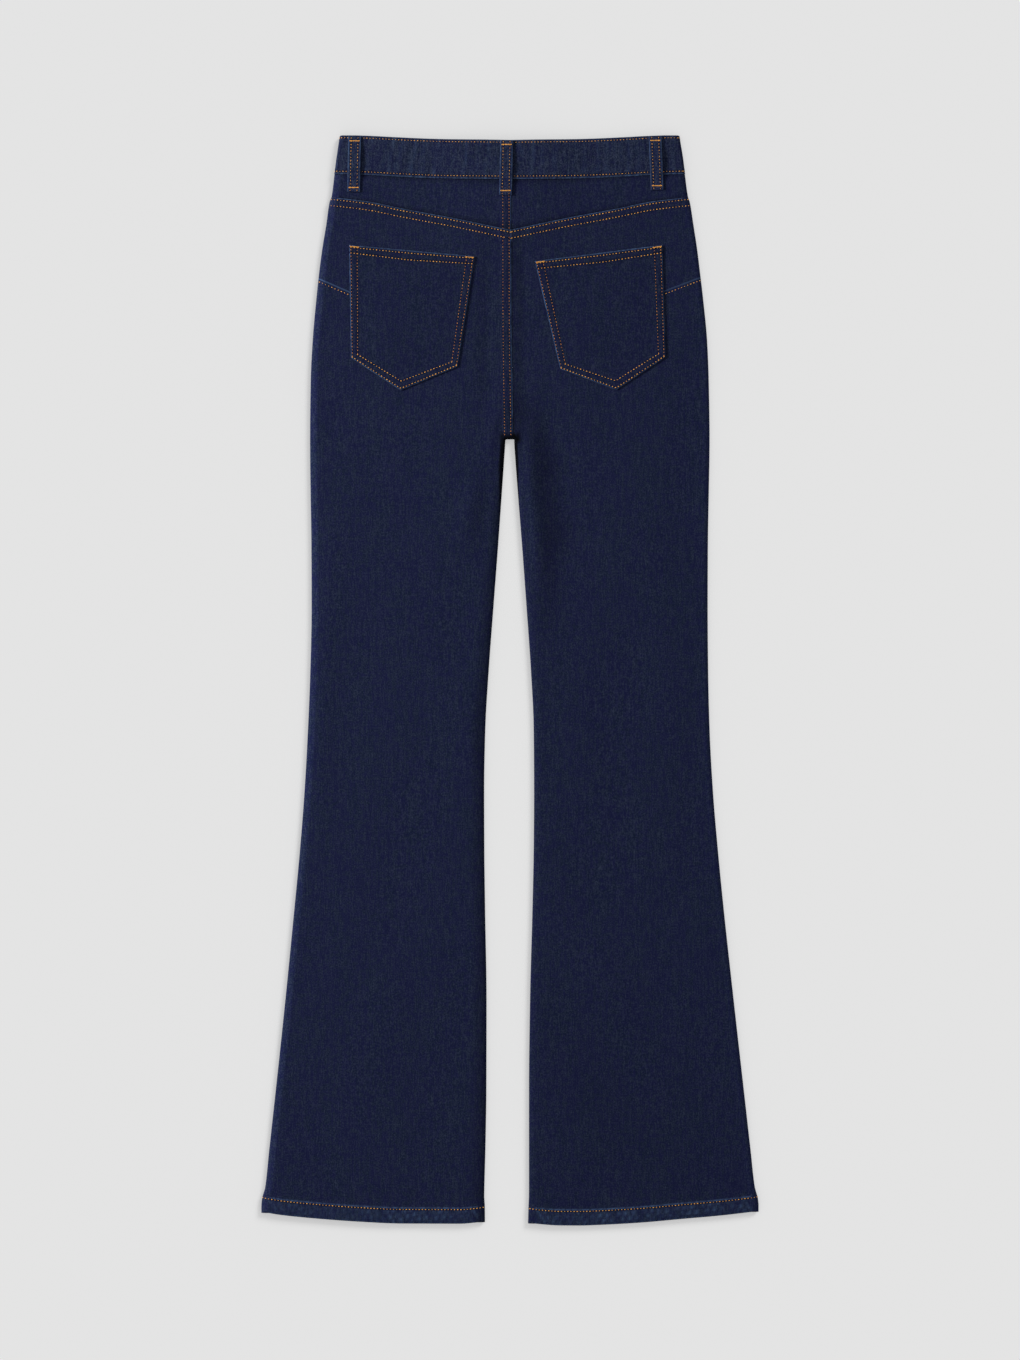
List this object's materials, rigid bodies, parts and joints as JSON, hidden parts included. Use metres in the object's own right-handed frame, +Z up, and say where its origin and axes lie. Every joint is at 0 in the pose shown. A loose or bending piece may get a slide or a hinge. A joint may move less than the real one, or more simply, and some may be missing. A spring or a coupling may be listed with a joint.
{
  "type": "flared jeans",
  "caption": "Dark indigo flared jeans laid flat face down, with a pointed yoke, patch pockets, belt loops and rust topstitching.",
  "frame": {"origin": "centre of the bounding box, on the surface that the garment lies on", "axes": "+Y from the hems towards the waist, +Z up out of the surface and out of the seat of the garment, +X towards the wearer's right"},
  "size_m": [0.5176, 1.134, 0.0126],
  "materials": {
    "denim": "dark indigo twill, dry and slightly napped, paler along worn seam edges",
    "thread": "rust orange polyester topstitching",
    "metal": "dull antique brass"
  },
  "bodies": {
    "root": {"back_leg_left": "denim", "back_leg_right": "denim", "yoke_left": "denim", "yoke_right": "denim", "back_pocket_left": "denim", "back_pocket_right": "denim", "waistband": "denim", "belt_loop_back_left": "denim", "belt_loop_back_centre": "denim", "belt_loop_back_right": "denim", "belt_loop_front_left": "denim", "belt_loop_front_right": "denim", "front_leg_left": "denim", "front_leg_right": "denim", "pocket_facing_left": "denim", "pocket_facing_right": "denim", "fly_shield": "denim", "zip": "denim", "zip_slider": "metal", "waist_button": "metal"}
  },
  "joints": []
}
